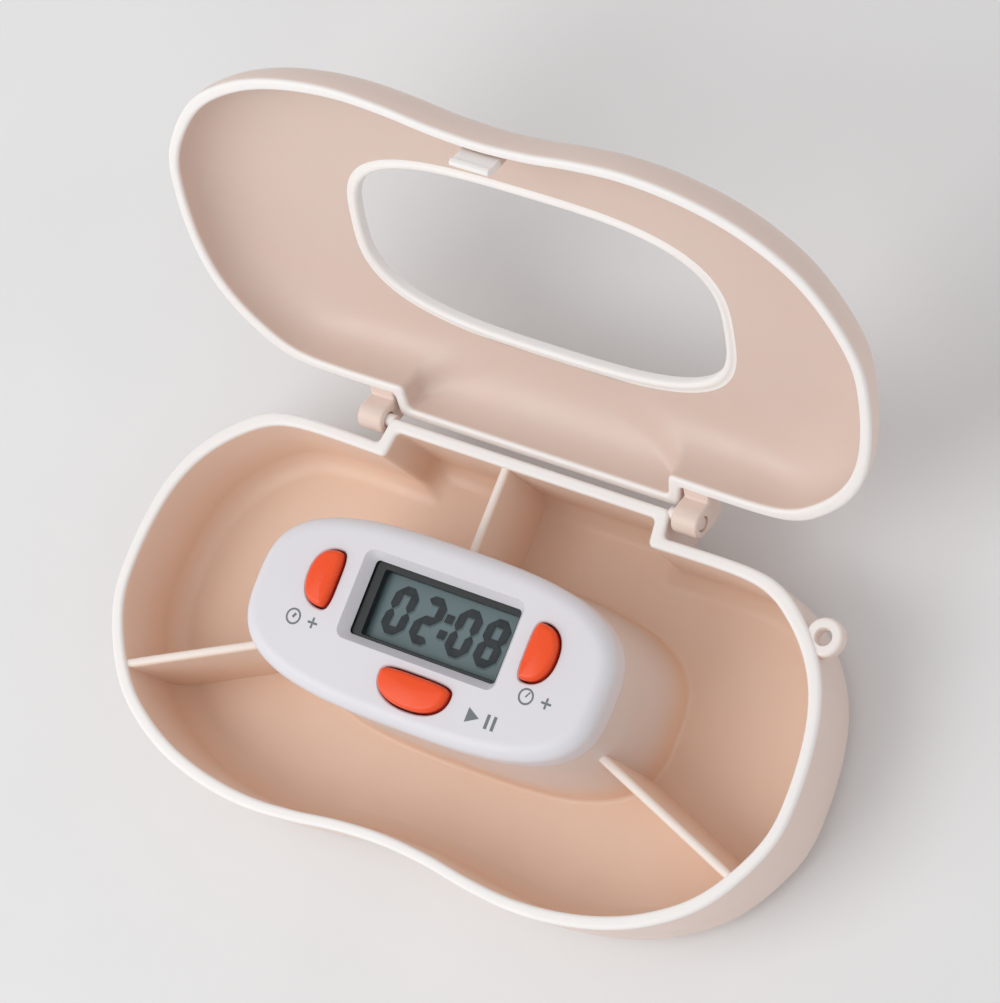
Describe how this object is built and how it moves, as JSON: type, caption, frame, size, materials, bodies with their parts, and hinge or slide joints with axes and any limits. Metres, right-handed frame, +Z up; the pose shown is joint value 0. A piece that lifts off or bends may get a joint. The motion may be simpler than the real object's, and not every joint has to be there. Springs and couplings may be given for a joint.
{
  "type": "electronic pill box",
  "caption": "Pocket pill box with compartments round a countdown timer, three keys, and a hinged lid with an oval window that stands open.",
  "frame": {"origin": "centre of the tray's underside, on the surface the box stands on, mid-way along its length and mid-way between its plain rear wall and the tips of its front lobes", "axes": "+X along the length to the side with the key ring eyelet, +Y to the hinge side, +Z up"},
  "size_m": [0.09, 0.0771, 0.0499],
  "materials": {
    "tray_ivory": "smooth moulded, soft sheen",
    "lid_ivory": "smooth moulded, soft sheen",
    "face_white": "smooth moulded",
    "key_orange": "smooth moulded",
    "black_plastic": "matt",
    "display_glass": "polished",
    "dark_rubber": "matt",
    "board_green": "lacquered",
    "steel": "satin"
  },
  "bodies": {
    "base": {"base_tray": "tray_ivory", "timer_face": "face_white", "display_bezel": "black_plastic", "display_cell": "display_glass", "zebra_strip": "dark_rubber", "circuit_board": "board_green", "chip_blob": "black_plastic", "quartz_crystal": "steel", "buzzer": "black_plastic", "button_cell": "steel", "battery_contact_plus": "steel", "battery_contact_minus": "steel", "face_screw_left": "steel", "face_screw_right": "steel", "board_screw_left": "steel", "board_screw_right": "steel"},
    "lid": {"lid": "lid_ivory"},
    "hour_key": {"hour_button": "key_orange", "hour_pad": "dark_rubber"},
    "minute_key": {"minute_button": "key_orange", "minute_pad": "dark_rubber"},
    "start_key": {"start_button": "key_orange", "start_pad": "dark_rubber"},
    "battery_door": {"battery_door": "tray_ivory"}
  },
  "joints": [
    {"name": "lid_hinge", "type": "hinge", "parent": "base", "child": "lid", "pos_m": [0, 0.02485, 0.012], "axis": [1, 0, 0], "range_deg": [0, 124]},
    {"name": "hour_press", "type": "slide", "parent": "base", "child": "hour_key", "axis": [0, 0, -1], "range_m": [0, 0.0006], "stiffness_N_per_m": 300},
    {"name": "minute_press", "type": "slide", "parent": "base", "child": "minute_key", "axis": [0, 0, -1], "range_m": [0, 0.0006], "stiffness_N_per_m": 300},
    {"name": "start_press", "type": "slide", "parent": "base", "child": "start_key", "axis": [0, 0, -1], "range_m": [0, 0.0006], "stiffness_N_per_m": 300},
    {"name": "battery_door_turn", "type": "hinge", "parent": "base", "child": "battery_door", "pos_m": [-0.009, 0.00265, 0], "axis": [0, 0, -1], "range_deg": [0, 50]}
  ]
}
